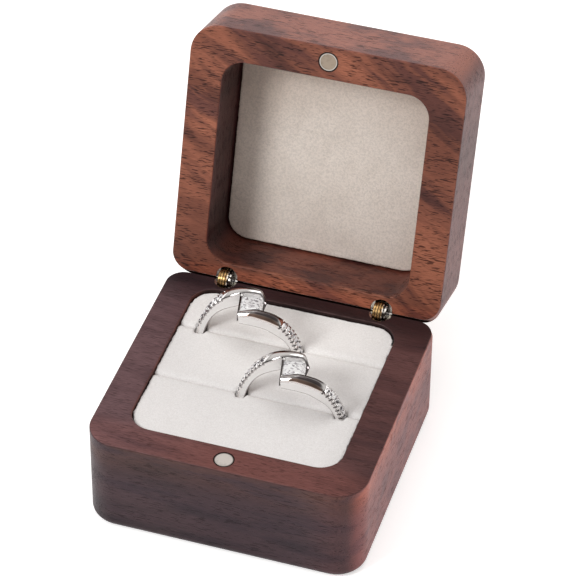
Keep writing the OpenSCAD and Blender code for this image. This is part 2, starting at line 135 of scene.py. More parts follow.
class Graph:
    """A material's node tree, built by calls that return sockets."""

    def __init__(self, name):
        self.material = bpy.data.materials.new(name)
        self.material.use_nodes = True
        self.tree = self.material.node_tree
        self.shader = self.tree.nodes["Principled BSDF"]

    def node(self, kind, **props):
        n = self.tree.nodes.new(kind)
        for k, v in props.items():
            setattr(n, k, v)
        return n

    def put(self, socket, value):
        if isinstance(value, bpy.types.NodeSocket):
            self.tree.links.new(value, socket)
        else:
            socket.default_value = value

    def coords(self, scale=(1, 1, 1), turn=(0, 0, 0), shift=(0, 0, 0), source=None):
        """Object coordinates in mm, turned in degrees, then scaled."""
        if source is None:
            tex = self.node("ShaderNodeTexCoord")
            m = self.node("ShaderNodeMapping")
            self.put(m.inputs["Vector"], tex.outputs["Object"])
            m.inputs["Rotation"].default_value = [math.radians(a) for a in turn]
            m.inputs["Scale"].default_value = (1 / MM,) * 3
            source = m.outputs["Vector"]
        m = self.node("ShaderNodeMapping")
        self.put(m.inputs["Vector"], source)
        m.inputs["Scale"].default_value = scale
        m.inputs["Location"].default_value = shift
        return m.outputs["Vector"]

    def turned(self, source, turn):
        """The vector turned about Z, in degrees."""
        m = self.node("ShaderNodeMapping")
        self.put(m.inputs["Vector"], source)
        m.inputs["Rotation"].default_value = (0, 0, math.radians(turn))
        return m.outputs["Vector"]

    def noise(self, vector, detail=2.0, rough=0.5, distortion=0.0):
        n = self.node("ShaderNodeTexNoise")
        self.put(n.inputs["Vector"], vector)
        n.inputs["Scale"].default_value = 1.0
        n.inputs["Detail"].default_value = detail
        n.inputs["Roughness"].default_value = rough
        n.inputs["Distortion"].default_value = distortion
        return n.outputs["Fac"]

    def voronoi(self, vector, out):
        n = self.node("ShaderNodeTexVoronoi")
        self.put(n.inputs["Vector"], vector)
        n.inputs["Scale"].default_value = 1.0
        return n.outputs[out]

    def ramp(self, fac, stops):
        n = self.node("ShaderNodeValToRGB")
        self.put(n.inputs["Fac"], fac)
        els = n.color_ramp.elements
        while len(els) < len(stops):
            els.new(0.5)
        for e, (pos, col) in zip(els, stops):
            e.position = pos
            e.color = (*col, 1)
        return n.outputs["Color"]

    def map(self, value, lo, hi, to_lo=0.0, to_hi=1.0, kind="SMOOTHSTEP"):
        n = self.node("ShaderNodeMapRange", interpolation_type=kind)
        self.put(n.inputs["Value"], value)
        for key, v in zip(("From Min", "From Max", "To Min", "To Max"), (lo, hi, to_lo, to_hi)):
            n.inputs[key].default_value = v
        return n.outputs["Result"]

    def math(self, op, a, b=0.0):
        n = self.node("ShaderNodeMath", operation=op)
        self.put(n.inputs[0], a)
        self.put(n.inputs[1], b)
        return n.outputs[0]

    def mix(self, fac, a, b, blend="MIX"):
        n = self.node("ShaderNodeMix", data_type="RGBA", blend_type=blend)
        self.put(n.inputs[0], fac)
        self.put(n.inputs[6], a if isinstance(a, bpy.types.NodeSocket) else (*a, 1))
        self.put(n.inputs[7], b if isinstance(b, bpy.types.NodeSocket) else (*b, 1))
        return n.outputs[2]

    def product(self, first, *others):
        for other in others:
            first = self.math("MULTIPLY", first, other)
        return first

    def off(self, value, middle):
        """How far the value is from the middle."""
        return self.math("ABSOLUTE", self.math("SUBTRACT", value, middle))

    def times(self, colour, tone):
        return self.mix(1.0, colour, tone, "MULTIPLY")

    def tinted(self, fac, colour, tone):
        """The colour, multiplied by the tone as far as fac says."""
        return self.mix(fac, colour, self.times(colour, tone))

    def swayed(self, vector, wave, reach):
        """The vector pushed along Y by the wave, at most half of reach either way."""
        push = self.node("ShaderNodeCombineXYZ")
        self.put(push.inputs["Y"], self.product(self.math("SUBTRACT", wave, 0.5), reach))
        n = self.node("ShaderNodeVectorMath", operation="ADD")
        self.put(n.inputs[0], vector)
        self.put(n.inputs[1], push.outputs[0])
        return n.outputs[0]

    def distance(self, vector, point):
        n = self.node("ShaderNodeVectorMath", operation="DISTANCE")
        self.put(n.inputs[0], vector)
        n.inputs[1].default_value = point
        return n.outputs["Value"]

    def bump(self, height, strength, distance):
        n = self.node("ShaderNodeBump")
        n.inputs["Strength"].default_value = strength
        n.inputs["Distance"].default_value = distance
        self.put(n.inputs["Height"], height)
        return n.outputs["Normal"]

    def axis(self, vector, name):
        n = self.node("ShaderNodeSeparateXYZ")
        self.put(n.inputs[0], vector)
        return n.outputs[name]

    def normal(self, name):
        """How far a face looks along one of the object's own axes, from -1 to 1."""
        return self.axis(self.node("ShaderNodeTexCoord").outputs["Normal"], name)

    def set(self, **values):
        """Sets or links the shader's inputs, named with _ for a space."""
        for key, v in values.items():
            self.put(self.shader.inputs[key.replace("_", " ")], v)
        return self.material


# Painted shade in the gap at the hinge: where it starts and ends, in Y and in height from the hinge's axis,
# and the near black colour painted there.
HINGE_SHADE_Y = (BEVEL_Y + 0.05, BEVEL_Y + 0.25)
HINGE_SHADE_H = (4.6, 3.6)
HINGE_SHADE_COLOUR = (0.02, 0.011, 0.009)
# A face turned this far from an axis starts to look along it, and looks fully along it.
SIDEWAYS = (0.5, 0.97)


def walnut(name, turn, light, mid, dark, slope, pore_depth, gloss, band, stream, right_side_light, specular, tones):
    """Oiled walnut: slanted growth bands, fine fibres and short dark pores along X, or along Y on
    the left and right sides. turn brings the piece back to the shut box, the right side's tint is
    painted light on the base and painted sheen on the lid, and tones adds the piece's own tones and
    its painted light and shade."""
    g = Graph(name)
    home_y, home_z = turned_2d(AXIS_Y, AXIS_Z, math.radians(turn))
    at = g.coords(shift=(0, AXIS_Y - home_y, AXIS_Z - home_z), source=g.coords(turn=(turn, 0, 0)))
    wander = g.noise(g.coords((0.05, 0.09, 0.09), source=at), detail=2)
    flow = g.swayed(g.turned(at, slope), wander, stream)
    broad = g.noise(g.coords((0.03, band, band * 0.8), source=flow), detail=2, rough=0.5)
    streaks = g.noise(g.coords((0.05, band * 4.5, band * 3.6), source=flow), detail=3, rough=0.6)
    fibre = g.noise(g.coords((0.5, 7.0, 7.0), source=at), detail=4, rough=0.7)
    tone = g.math("ADD", broad, g.product(g.math("SUBTRACT", streaks, 0.5), 0.45))
    grain = g.ramp(tone, [(0.36, dark), (0.46, mid), (0.56, light), (0.72, light)])
    bright, deep = g.times(grain, (1.08, 1.08, 1.08)), g.times(grain, (0.72, 0.68, 0.66))
    grain = g.mix(g.map(fibre, 0.32, 0.7), bright, deep)

    outward = g.normal("X")
    facing = g.math("ABSOLUTE", outward)
    side = g.map(facing, *SIDEWAYS)
    lines = g.noise(g.coords((0.4, 0.045, 0.55), source=at, shift=(2, 6, 3)), detail=4, rough=0.65)
    hair = g.noise(g.coords((0.5, 0.35, 6.0), source=at), detail=3, rough=0.7)
    plain = g.ramp(lines, [(0.36, mid), (0.50, light), (0.64, light)])
    plain = g.tinted(g.map(hair, 0.32, 0.7), plain, (0.74, 0.71, 0.70))
    base = tones(g, at, g.mix(side, grain, plain))

    # Painted shade: the bevels at the hinge, where the gap between lid and base lies in shade, are painted
    # near black and lose their gloss.
    back = g.map(g.axis(at, "Y"), *HINGE_SHADE_Y, kind="LINEAR")
    joint = g.map(g.off(g.axis(at, "Z"), AXIS_Z), *HINGE_SHADE_H)
    hinge_shade = g.product(back, joint, g.map(facing, 0.6, 0.2))
    base = g.mix(hinge_shade, base, HINGE_SHADE_COLOUR)
    # Painted light on the right side: brighter and redder on the base, duller and more mauve as painted sheen
    # on the lid.
    base = g.tinted(g.map(outward, *SIDEWAYS), base, right_side_light)

    along = g.noise(g.coords((0.62, 5.5, 5.5), source=at), detail=1, rough=0.5)
    across = g.noise(g.coords((5.5, 0.62, 5.5), source=at), detail=1, rough=0.5)
    where = g.noise(g.coords((0.12, 0.4, 0.4), source=at, shift=(3, 1, 7)), detail=1)
    pores = g.math("ADD", g.product(along, g.math("SUBTRACT", 1.0, side)), g.product(across, side))
    pore = g.map(g.math("ADD", pores, g.product(g.math("SUBTRACT", where, 0.5), 0.3)), 0.58, 0.66)
    colour = g.tinted(g.product(pore, pore_depth), base, (0.20, 0.15, 0.14))
    rough = g.math("ADD", g.map(fibre, 0.2, 0.8, gloss - 0.05, gloss + 0.07, "LINEAR"), g.product(pore, 0.2))
    height = g.math("SUBTRACT", g.product(fibre, 0.35), pore)
    return g.set(Base_Color=colour, Roughness=rough, Normal=g.bump(height, 0.4, 0.00005),
                 Specular_IOR_Level=g.map(hinge_shade, 0.0, 0.6, specular, 0.0))


def streak(g, at, x, y, turn, long, wide):
    """1 in the middle of an oval about (x, y) and 0 outside it, at any height."""
    place = g.turned(g.coords(shift=(-x, -y, 0), source=at), -turn)
    oval = g.distance(g.coords((1 / long, 1 / wide, 0), source=place), (0, 0, 0))
    return g.map(oval, 1.0, 0.25)


def hollow_walls(g, at, fade):
    """1 on the walls of the hollow and 0 from fade mm outside them, at any height."""
    return g.product(g.map(g.math("ABSOLUTE", g.axis(at, "X")), HOLLOW_W / 2 + fade, HOLLOW_W / 2 + 0.1),
                     g.map(g.off(g.axis(at, "Y"), HOLLOW_MID_Y), HOLLOW_D / 2 + fade, HOLLOW_D / 2 + 0.1))


# Broad streaks of the lid's front: x, y, turn, half length, half width and tone.
LID_STREAKS = (
    (-22.0, -13.5, 28, 7, 2.0, 0.58), (-22.5, -2.5, 28, 6, 1.5, 0.66), (-22.0, 10.0, 24, 7, 2.6, 0.66),
    (-20.0, 19.0, 10, 16, 10.0, 0.66), (21.5, -10.0, 70, 11, 6.0, 0.60), (21.0, -0.5, 30, 6, 1.8, 0.66),
    (-10.0, -22.0, 38, 7, 2.0, 0.56), (12.5, -21.7, 20, 6, 1.4, 0.66), (-22.5, -8.0, 30, 6, 4.0, 1.32),
    (-22.0, 3.0, 25, 6, 3.0, 1.14), (22.0, 11.0, 50, 9, 5.5, 1.2), (2.0, -22.5, 10, 9, 3.0, 1.2),
    (2.0, 22.0, 8, 16, 4.0, 1.3),
)
# How much more than red the green and blue follow a streak's tone.
STREAK_POWERS = (1.0, 1.12, 1.05)


def lid_tones(g, at, colour):
    """Streaks, a paler rear wall, painted sheen that makes the front wall's outside paler, which is on
    top while the lid is open, and walls in the hollow painted darker as shade, most on the left."""
    wave = g.noise(g.coords((0.22, 0.6, 0.6), source=at, shift=(4, 8, 2)), detail=3)
    bent = g.swayed(at, wave, 5.0)
    for *where, tone in LID_STREAKS:
        colour = g.tinted(streak(g, bent, *where), colour, tuple(tone ** k for k in STREAK_POWERS))
    x, y, z = (g.axis(at, name) for name in "XYZ")
    colour = g.tinted(g.map(y, 19.9, 21.2), colour, (1.48, 1.34, 1.25))
    # Painted shade in the hollow: its walls darker, the left wall, which faces away from the key light,
    # darkest.
    inside = g.product(hollow_walls(g, at, 0.6), g.map(z, LID_Z + 0.2, LID_Z + 0.9),
                       g.map(z, CEILING_Z + 0.8, CEILING_Z + 0.4))
    left = g.map(x, 1 - HOLLOW_W / 2, -HOLLOW_W / 2)
    colour = g.tinted(inside, colour, g.mix(left, (0.64, 0.54, 0.60), (0.56, 0.49, 0.52)))
    # Painted sheen: the front wall's outside, which faces up while the lid is open, is painted paler and more
    # mauve, beside the shader's sheen there.
    front = g.product(g.map(g.normal("Z"), 0.45, 0.95), g.map(y, -21.0, -23.5))
    g.put(g.shader.inputs["Sheen Weight"], g.product(front, 0.2))
    g.shader.inputs["Sheen Tint"].default_value = (1.0, 0.86, 0.90, 1)
    return g.tinted(front, colour, (1.27, 1.22, 1.3))


def base_tones(g, at, colour):
    """A top painted lighter than the sides as painted light, with painted sheen on its left part, a
    painted highlight at its front and a rear strip painted dark as the lid's shadow and reflection.
    The sides are painted darker and more purple as shade and the floor's reflection, with the wood's
    level clouds, a darker middle, a redder corner and a warm upper edge. The walls of the hollow are
    painted dark as shade."""
    up = g.normal("Z")
    x, y, z = (g.axis(at, name) for name in "XYZ")
    # Painted light and shade: the sides darker and more purple than the top, as shade and the floor's
    # reflection.
    colour = g.mix(g.map(up, 0.3, 0.9), g.times(colour, (0.44, 0.50, 0.64)), colour)
    on_top, upright = g.map(up, 0.6, 0.95), g.map(up, 0.6, 0.2)
    below_rim = g.product(g.map(z, BASE_H - 0.05, BASE_H - 0.25), g.map(z, 1.0, 2.0))
    cloud = g.noise(g.coords((0.05, 0.16, 0.30), source=at, shift=(5, 2, 9)), detail=4, rough=0.6)
    for masks, tone in (
        # Painted sheen on the left of the top, where it mirrors the bright sky.
        ((g.map(x, 2.0, -24.0), on_top), (1.2, 1.5, 1.7)),
        # Painted highlight along the front of the top.
        ((g.map(y, -17.0, -21.0), on_top), (1.42, 1.22, 1.12)),
        ((g.map(x, 14.0, 22.0), upright), (1.35, 1.08, 1.0)),
        ((g.map(g.off(x, 4.0), 14.0, 4.0), upright), (0.80, 0.74, 0.80)),
        # Painted shadow and dark reflection of the open lid on the top's rear strip.
        ((g.map(y, 12.0, 21.0), g.map(up, 0.5, 0.95)), (0.30, 0.28, 0.30)),
        # Painted shade on the walls of the hollow, below the rim.
        ((hollow_walls(g, at, 0.3), below_rim), (0.35, 0.34, 0.36)),
        ((g.map(cloud, 0.45, 0.62), g.map(z, 19.0, 12.0)), (0.70, 0.68, 0.80)),
        ((g.map(z, 11.0, 18.5), g.map(up, 0.8, 0.2), g.map(cloud, 0.35, 0.6)), (1.75, 1.55, 1.05)),
    ):
        colour = g.tinted(g.product(*masks), colour, tone)
    return colour


def velvet(name, colour, shade, pile, sheen, speckle, middle, shade_from, shade_to, shade_tone):
    """Short pile: fine speckle, soft brushed patches and a pale sheen at the edges. Away from the
    middle the pile is painted darker, as painted shade."""
    g = Graph(name)
    at = g.coords()
    tuft = g.noise(g.coords((5, 5, 5), source=at), detail=4, rough=0.7)
    brushed = g.noise(g.coords((0.22, 0.12, 0.16), source=at), detail=3, distortion=0.6)
    tint = g.mix(g.map(brushed, 0.35, 0.7), colour, shade)
    # Painted shade: darker from the middle outwards.
    tint = g.tinted(g.map(g.distance(at, middle), shade_from, shade_to), tint, shade_tone)
    tint = g.mix(g.map(tuft, 0.3, 0.75), g.times(tint, (0.86, 0.85, 0.84)), tint)
    grain = g.noise(g.coords((2.4, 2.4, 2.4), source=at), detail=2, rough=0.6)
    tint = g.tinted(g.map(grain, 0.60, 0.36), tint, (1 - speckle,) * 3)
    g.shader.inputs["Sheen Weight"].default_value = sheen
    g.shader.inputs["Sheen Roughness"].default_value = 0.5
    g.shader.inputs["Sheen Tint"].default_value = (1, 0.98, 0.95, 1)
    g.shader.inputs["Specular IOR Level"].default_value = 0.2
    rough = g.map(tuft, 0.2, 0.8, 0.86, 0.98, "LINEAR")
    return g.set(Base_Color=tint, Roughness=rough, Normal=g.bump(tuft, 0.6, pile))


# A magnet's painted highlight on its bevel and painted shadow round its edge: where each starts and is full,
# from the middle, and its tone.
MAGNET_PAINTED_RIM = ((1.42, 1.48, (0.66, 0.63, 0.59)), (1.54, 1.62, (0.05, 0.04, 0.035)))


def metal(name, colour, rough, scratch=0.05, dark=None, dark_scale=1.2, rim=None):
    """Plated or polished metal with fine scratches and a faint tarnish. rim is the middle of a
    disc with a painted highlight on its bevel and a painted shadow round its edge."""
    g = Graph(name)
    at = g.coords()
    lines = g.noise(g.coords((2.5, 9, 9), source=at), detail=3, rough=0.6)
    stain = g.noise(g.coords((dark_scale,) * 3, source=at), detail=3)
    tint = g.mix(g.map(stain, 0.45, 0.75), colour, dark or tuple(c * 0.8 for c in colour))
    if rim:
        # Painted highlight and painted shadow in rings round the disc's middle.
        away = g.distance(at, rim)
        for start, full, tone in MAGNET_PAINTED_RIM:
            tint = g.mix(g.map(away, start, full), tint, tone)
    g.shader.inputs["Metallic"].default_value = 1.0
    rough = g.map(lines, 0.3, 0.7, max(rough - scratch, 0.02), rough + scratch, "LINEAR")
    return g.set(Base_Color=tint, Roughness=rough, Normal=g.bump(lines, 0.2, 0.00001))


def leaf_metal(name, colour, dull):
    """Stamped brass leaves: painted shade in the gaps between them, a dull tarnish, and painted glints and
    dark reflections on the right end.
    """
    g = Graph(name)
    at = g.coords()
    stain = g.noise(g.coords((1.6, 1.6, 1.6), source=at), detail=3)
    x = g.axis(at, "X")
    off = g.off(g.math("ABSOLUTE", x), HINGE_X)
    step = g.math("FRACT", g.math("ADD", g.math("DIVIDE", off, LEAF_PITCH), 0.5))
    line = g.map(g.off(step, 0.5), 0.24, 0.42)
    tint = g.mix(g.map(stain, 0.4, 0.62), colour, dull)
    # Painted glints and dark reflections in patches on the right end of each stack.
    glint_cells = g.voronoi(g.coords((1.7, 1.7, 1.7), source=at), "Distance")
    pale = g.mix(g.map(glint_cells, 0.35, 0.6), (0.80, 0.76, 0.70), (0.06, 0.045, 0.04))
    side = g.math("SUBTRACT", x, g.product(g.math("SIGN", x), HINGE_X))
    tint = g.mix(g.map(side, 0.35, 0.6), tint, pale)
    # Painted shade in the gaps between the leaves.
    tint = g.mix(line, tint, (0.03, 0.018, 0.012))
    g.shader.inputs["Metallic"].default_value = 1.0
    return g.set(Base_Color=tint, Roughness=g.map(stain, 0.3, 0.7, 0.22, 0.36, "LINEAR"))


# Painted tones of the ring's mesh: painted shade and dark reflection, painted reflection of the brown wood,
# and the satin sides.
RING_TONES = ("painted_shade_and_dark_reflection", "painted_wood_reflection", "satin_side")


def ring_metal():
    """Polished white metal. Its mesh says where painted shade and dark reflections lie along the
    edges, where a painted reflection of the brown wood lies, and where its sides are satin."""
    g = Graph("ring_white_metal")
    hair = g.noise(g.coords((9, 9, 9), source=g.coords()), detail=2)
    dark, warm, satin = (g.node("ShaderNodeAttribute", attribute_name=name).outputs["Fac"]
                         for name in RING_TONES)
    tint = g.mix(g.map(hair, 0.4, 0.7), (0.95, 0.935, 0.925), (0.91, 0.895, 0.885))
    # Painted reflection of the brown wood, then painted shade and dark reflection.
    tint = g.mix(g.map(warm, 0.0, 1.0, 0.0, 0.85), tint, (0.34, 0.18, 0.11))
    tint = g.mix(g.map(dark, 0.05, 0.85, 0.0, 0.95), tint, (0.045, 0.032, 0.034))
    rough = g.math("ADD", g.map(hair, 0.3, 0.7, 0.06, 0.11, "LINEAR"), g.product(satin, 0.30))
    return g.set(Base_Color=tint, Roughness=rough, Metallic=g.map(satin, 0.0, 1.0, 1.0, 0.55, "LINEAR"))


def gem(name, ior, scale, clear, stops):
    """Cut stone: small patches of light and shade, as its facets throw them."""
    g = Graph(name)
    patch = g.node("ShaderNodeSeparateColor")
    g.put(patch.inputs[0], g.voronoi(g.coords(scale, source=g.coords()), "Color"))
    g.shader.inputs["Transmission Weight"].default_value = clear
    g.shader.inputs["IOR"].default_value = ior
    return g.set(Base_Color=g.ramp(patch.outputs[0], stops), Roughness=0.03)


def card(name, colour):
    """Dull pulp with a fine mottle."""
    g = Graph(name)
    pulp = g.noise(g.coords((2, 2, 2), source=g.coords()), detail=5, rough=0.7)
    return g.set(Base_Color=g.mix(g.map(pulp, 0.3, 0.7), colour, tuple(c * 0.85 for c in colour)),
                 Roughness=g.map(pulp, 0.3, 0.7, 0.8, 0.95, "LINEAR"), Normal=g.bump(pulp, 0.3, 0.00003))


LID_WOOD = walnut("lid_walnut", OPEN_ANGLE, (0.270, 0.092, 0.053), (0.190, 0.063, 0.038),
                  (0.110, 0.036, 0.027), -28, 0.95, 0.42, 0.17, 6.0, (0.48, 0.44, 0.70), 0.25, lid_tones)
BASE_WOOD = walnut("base_walnut", 0, (0.118, 0.052, 0.050), (0.095, 0.041, 0.040),
                   (0.068, 0.030, 0.031), 4, 0.45, 0.40, 0.10, 6.0, (3.0, 2.2, 1.8), 0.2, base_tones)
# The pads are painted darker away from the rear, and the lining away from its middle, as painted light and
# shade.
PAD_VELVET = velvet("pad_velvet", (0.965, 0.945, 0.93), (0.945, 0.925, 0.91), 0.00010, 0.35, 0.03,
                    (0, 22, 19), 8, 30, (0.86, 0.86, 0.87))
LID_VELVET = velvet("lid_velvet", (0.985, 0.89, 0.81), (0.92, 0.825, 0.745), 0.0003, 0.25, 0.12,
                    (2, 39, 31), 11, 29, (0.79, 0.73, 0.69))
CARD = card("lining_card", (0.50, 0.44, 0.37))
FOAM = card("foam", (0.75, 0.73, 0.68))
# The two magnets are one nickel painted two ways: the base's lit bright, the lid's darkened and browned as
# painted shade and reflection of the wood.
BASE_NICKEL_LIT = metal("base_magnet_nickel_lit", (0.93, 0.89, 0.84), 0.36, 0.08, rim=(0, MAGNET_Y, BASE_H))
LID_NICKEL_SHADED = metal("lid_magnet_nickel_shaded", (0.40, 0.325, 0.255), 0.42, 0.08, rim=LID_MAGNET_AT)
BARREL = metal("barrel_nickel", (0.66, 0.63, 0.57), 0.22, 0.06)
GOLD = leaf_metal("leaf_brass", (0.62, 0.40, 0.17), (0.30, 0.17, 0.07))
RIVET = metal("rivet_brass", (0.62, 0.42, 0.20), 0.25, 0.06, (0.35, 0.20, 0.08), 2.5)
PIN = metal("pin_steel", (0.6, 0.6, 0.6), 0.25)
SILVER = ring_metal()
STONE = gem("clear_stone", 2.0, (2.2, 4.5, 4.5), 0.2, [
    (0.0, (0.20, 0.19, 0.20)), (0.16, (0.45, 0.43, 0.45)), (0.32, (0.86, 0.84, 0.86)), (0.5, (1.0, 1.0, 1.0))])
SMALL_STONE = gem("small_stones", 2.1, (2.4, 2.4, 1.5), 0.1, [
    (0.0, (0.03, 0.02, 0.03)), (0.40, (0.10, 0.09, 0.10)), (0.55, (0.85, 0.83, 0.85)), (1.0, (1.0, 1.0, 1.0))])

FINISH = {
    "lid_body": LID_WOOD, "base_body": BASE_WOOD, "lid_lining_card": CARD, "cushion_card": CARD,
    "cushion_underlay": FOAM, "base_magnet": BASE_NICKEL_LIT, "lid_magnet": LID_NICKEL_SHADED,
}
for side in ("left", "right"):
    for half in ("base", "lid"):
        FINISH[f"{side}_hinge_{half}_barrel"] = BARREL
        FINISH[f"{side}_hinge_{half}_leaves"] = GOLD
        FINISH[f"{side}_hinge_{half}_rivet"] = RIVET
    FINISH[f"{side}_hinge_pin"] = PIN
for node, material in FINISH.items():
    for s in NODES[node].material_slots:
        s.link = "OBJECT"
        s.material = material

# ---------------------------------------------------------------- cushion pads


def slot_y(y, z):
    """Where the middle of a leaning slot lies at height z."""
    return y - (z - RING_Z) * math.tan(math.radians(SLOT_LEAN))


# Half the gap between closed pads, and how far from the band they start to part.
CLOSED_GAP, PART_OVER = 0.02, 0.45


def gap_beside(x, z, ring_x):
    """Half the gap between two pads: closed, but parted where the ring's band passes."""
    off = abs(math.hypot(x - ring_x, z - RING_Z) - (FINGER_R + BAND_T / 2)) - BAND_T / 2
    return CLOSED_GAP + BAND_W / 2 * ease(off, PART_OVER, 0)


HALF_W = HOLLOW_W / 2 - CUSHION_GAP
CORNER = POCKET_R - CUSHION_GAP
PAD_TOP, SLOT_EDGE, WALL_EDGE = 18.95, 18.0, 18.7
# How far the rounding of the top reaches in from a slot and from a wall, and how far the pads press
# out sideways, sink at their ends and press against the front and rear walls.
SLOT_ROUND, WALL_ROUND = 1.3, 0.6
END_BULGE, END_DROP, WALL_SWELL = 0.2, 0.25, 0.25


def pad(name, front, rear, stations=150, across=56, down=14):
    """A cushion pad as sections across the box from left to right, with a rounded top and fuzz.
    front and rear are (y, ring_x) of a slot face, or (y, None) of a wall face."""

    def face_y(side, x, z, sign):
        y, ring_x = side
        if ring_x is not None:
            return slot_y(y, z) + sign * gap_beside(x, z, ring_x)
        over = abs(x) - (HALF_W - CORNER)
        inset = CORNER - math.sqrt(max(CORNER**2 - over * over, 0)) if over > 0 else 0
        return y + sign * (inset - WALL_SWELL)

    sections = []
    for i in range(stations + 1):
        x = -(HALF_W + END_BULGE) * math.cos(math.pi * i / stations)
        xc = max(-HALF_W, min(HALF_W, x))
        swell = max(1 - abs(x / (HALF_W + END_BULGE)) ** 40, 0) ** (1 / 10)
        edges = [SLOT_EDGE if s[1] is not None else WALL_EDGE for s in (front, rear)]
        ya, yb = face_y(front, xc, edges[0], 1), face_y(rear, xc, edges[1], -1)
        mid, half = (ya + yb) / 2, (yb - ya) / 2
        loop = []
        for k in range(across + 1):
            v = math.cos(math.pi * k / across)
            edge = edges[1] if v > 0 else edges[0]
            reach = (SLOT_ROUND if edge == SLOT_EDGE else WALL_ROUND) / half
            near_edge = max(0.0, (abs(v) - 1 + reach) / reach)
            rise = math.sqrt(max(1 - near_edge ** 2.2, 0))
            loop.append([x, mid + half * v, edge + (PAD_TOP - edge) * rise - END_DROP * (1 - swell)])
        for k in range(1, down):
            z = edges[0] + (UNDERLAY_TOP - edges[0]) * k / down
            loop.append([x, face_y(front, xc, z, 1), z])
        loop.append([x, face_y(front, xc, UNDERLAY_TOP, 1), UNDERLAY_TOP])
        loop.append([x, face_y(rear, xc, UNDERLAY_TOP, -1), UNDERLAY_TOP])
        for k in range(down - 1, 0, -1):
            z = edges[1] + (UNDERLAY_TOP - edges[1]) * k / down
            loop.append([x, face_y(rear, xc, z, -1), z])
        sections.append(loop)
    verts, faces = loft(sections)
    # The pile's fuzz, about twice as deep along the side walls.
    soft = []
    for x, y, z in verts:
        if z > UNDERLAY_TOP + 0.5:
            p = Vector((x, y, z))
            z += noise.noise(p * 2.6) * 0.04 + noise.noise(p * 0.3) * 0.08
            y += noise.noise(p * 2.2 + Vector((7, 3, 1))) * 0.08
            fray = 0.16 if abs(x) > HALF_W - 0.3 and z > WALL_EDGE - 1 else 0.08
            x += noise.noise(p * 2.2 + Vector((1, 9, 4))) * fray
        soft.append((x, y, z))
    obj = new_object(name + "_velvet", soft, faces, PAD_VELVET, "base")
    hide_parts(name)


pad("front_pad", (HOLLOW_FRONT + CUSHION_GAP, None), (FRONT_SLOT_Y, FRONT_RING_X))
pad("middle_pad", (FRONT_SLOT_Y, FRONT_RING_X), (REAR_SLOT_Y, REAR_RING_X))
pad("rear_pad", (REAR_SLOT_Y, REAR_RING_X), (HOLLOW_REAR - CUSHION_GAP, None))

# ---------------------------------------------------------------- rings

REAR_END, FRONT_END = -193.0, 189.0
BAND_R = FINGER_R + BAND_T
GIRDLE_R = FINGER_R + 1.95
PAVE_D, PAVE_GAP, PAVE_N, PAVE_FROM = 0.9, 0.1, 9, 97.0
PAVE_PITCH = math.degrees((PAVE_D + PAVE_GAP) / BAND_R)

# Where the near and far sides of the band lie along the finger axis, by the angle from the bottom.
REAR_ANGLES = (84, 92, 100, 108, 116, 124, 132, 140, 148, 156, 163, 170, 175, 180, 186, 193)
REAR_NEAR = (-1.05, -0.90, -0.54, -0.12, 0.27, 0.52, 0.64, 0.72, 0.82, 1.0, 1.35, 1.73, 1.88, 2.02, 2.0, 0.9)
REAR_FAR = (1.05, 1.17, 1.55, 2.10, 2.60, 2.93, 3.08, 3.12, 3.15, 3.2, 3.23, 3.23, 3.23, 3.22, 2.95, 1.65)
FRONT_ANGLES = (90, 100, 108, 116, 124, 132, 140, 148, 156, 164, 172, 180, 189)
FRONT_NEAR = (-1.05, -1.18, -1.25, -1.37, -1.55, -1.79, -2.1, -2.34, -2.5, -2.78, -3.03, -3.2, -3.24)
FRONT_FAR = (1.05, 0.92, 0.85, 0.73, 0.5, 0.2, -0.17, -0.54, -0.8, -1.15, -1.5, -1.85, -2.2)


def blend(q, keys, values):
    """Smooth curve through the values."""
    n = len(keys)
    if q <= keys[0]:
        return values[0]
    if q >= keys[-1]:
        return values[-1]
    i = max(k for k in range(n - 1) if keys[k] <= q)
    t = (q - keys[i]) / (keys[i + 1] - keys[i])
    a, b = values[i], values[i + 1]
    step = keys[i + 1] - keys[i]
    before = (b - values[i - 1]) / (keys[i + 1] - keys[i - 1]) * step if i else b - a
    after = (values[i + 2] - a) / (keys[i + 2] - keys[i]) * step if i + 2 < n else b - a
    return ((2 * t**3 - 3 * t**2 + 1) * a + (t**3 - 2 * t**2 + t) * before
            + (3 * t**2 - 2 * t**3) * b + (t**3 - t**2) * after)


def sides_at(q):
    """The band's near and far sides at angle q: the rear arm's below 0, the front arm's above."""
    if q < 0:
        return blend(-q, REAR_ANGLES, REAR_NEAR), blend(-q, REAR_ANGLES, REAR_FAR)
    return blend(q, FRONT_ANGLES, FRONT_NEAR), blend(q, FRONT_ANGLES, FRONT_FAR)


# How far the arms rise above the band, and dip again where they end.
ARM_RISE, REAR_DIP, FRONT_DIP = 1.5, 1.0, 0.8


def outer_at(q):
    """The band's outer radius at angle q: the arms rise to the stone and dip at their ends."""
    if q < 0:
        return BAND_R + ARM_RISE * ease(-q, 115, 178) - REAR_DIP * ease(-q, 183, 193)
    return BAND_R + ARM_RISE * ease(q, 112, 160) - FRONT_DIP * ease(q, 172, 188.5)


def scallop(q):
    """1 halfway along each small stone and 0 between stones, on the shoulders only."""
    k = (abs(q) - PAVE_FROM) / PAVE_PITCH
    if k < -0.5 or k > PAVE_N - 0.5:
        return 0.0
    return (0.5 + 0.5 * math.cos(2 * math.pi * k)) ** 0.7


def ring_matrix(x, y):
    """The ring's place in its slot at (x, y), with its lean and roll."""
    return (Matrix.Translation((x, y, RING_Z)) @ Matrix.Rotation(math.radians(SLOT_LEAN), 4, "X")
            @ Matrix.Rotation(math.radians(RING_ROLL), 4, "Y"))


